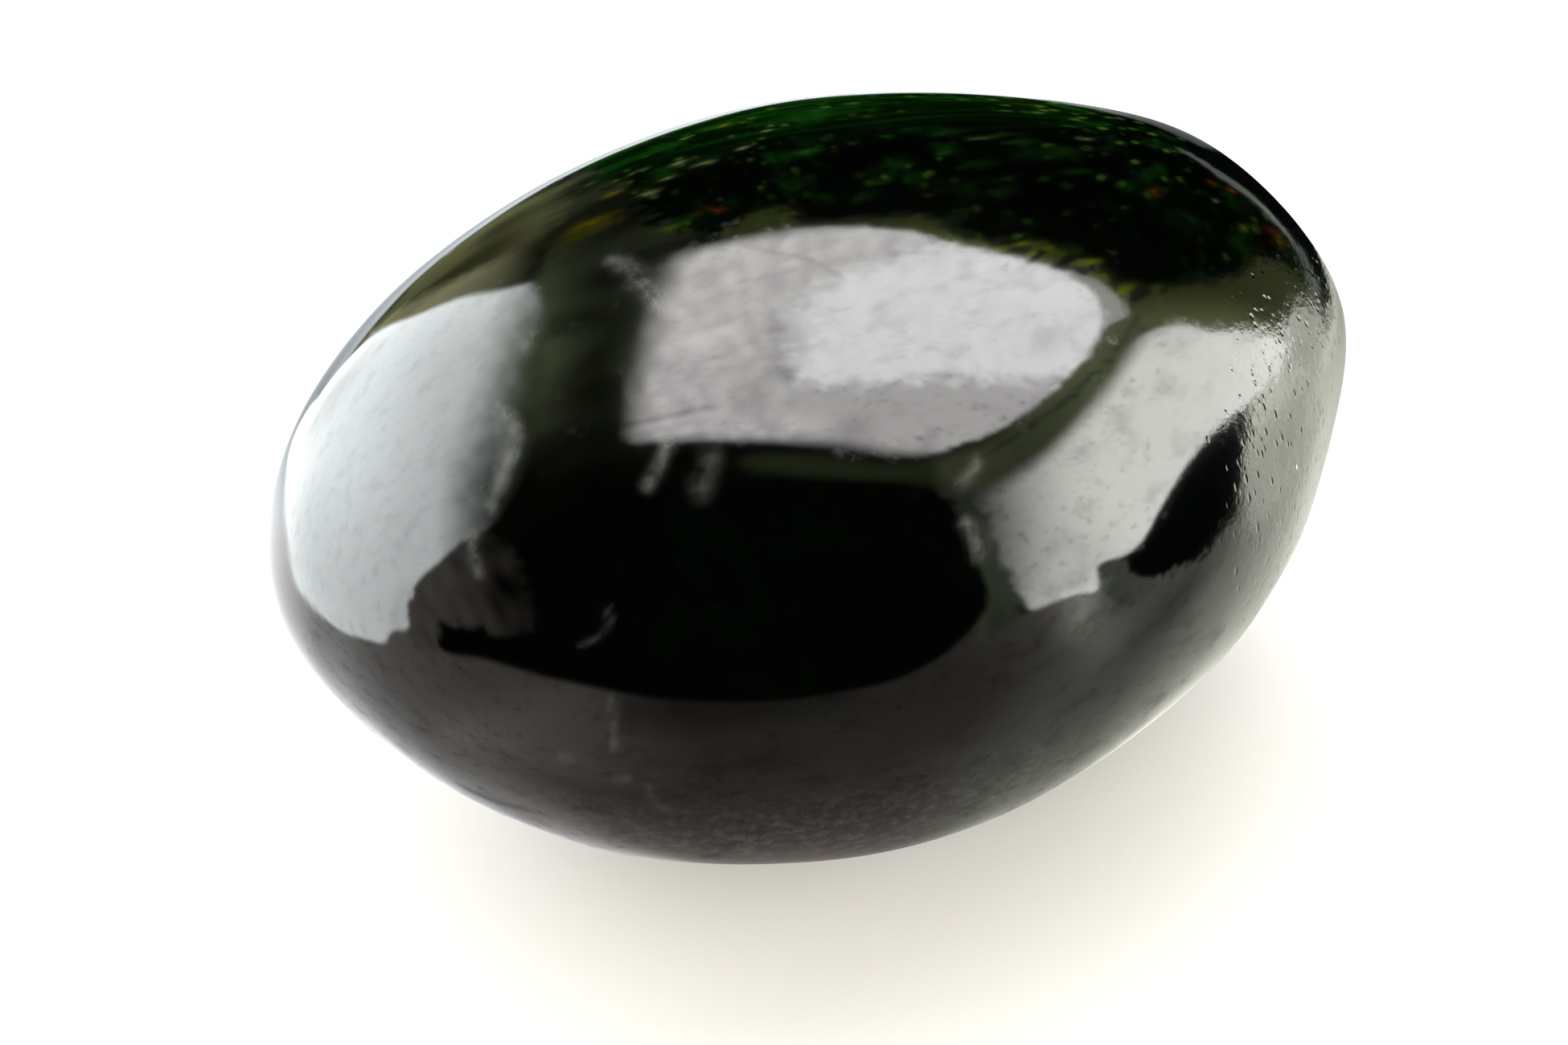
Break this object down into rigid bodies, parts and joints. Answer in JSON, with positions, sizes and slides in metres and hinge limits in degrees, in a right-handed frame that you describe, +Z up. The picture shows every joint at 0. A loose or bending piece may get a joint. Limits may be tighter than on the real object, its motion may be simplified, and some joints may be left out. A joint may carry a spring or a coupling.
{
  "type": "polished black tourmaline pebble",
  "caption": "Smooth egg-shaped tumbled stone of black tourmaline with a worn blunt end, lying on a small worn flat.",
  "frame": {"origin": "on the surface that the stone rests on, below the middle of its box", "axes": "+X along the stone towards its blunt worn end, +Y across it, +Z up"},
  "size_m": [0.03, 0.0206, 0.0182],
  "materials": {
    "polished_tourmaline": "glossy tumbled polish over near-black stone, duller and finely pitted on the worn end"
  },
  "bodies": {
    "root": {"tourmaline_pebble": "polished_tourmaline"}
  },
  "joints": []
}
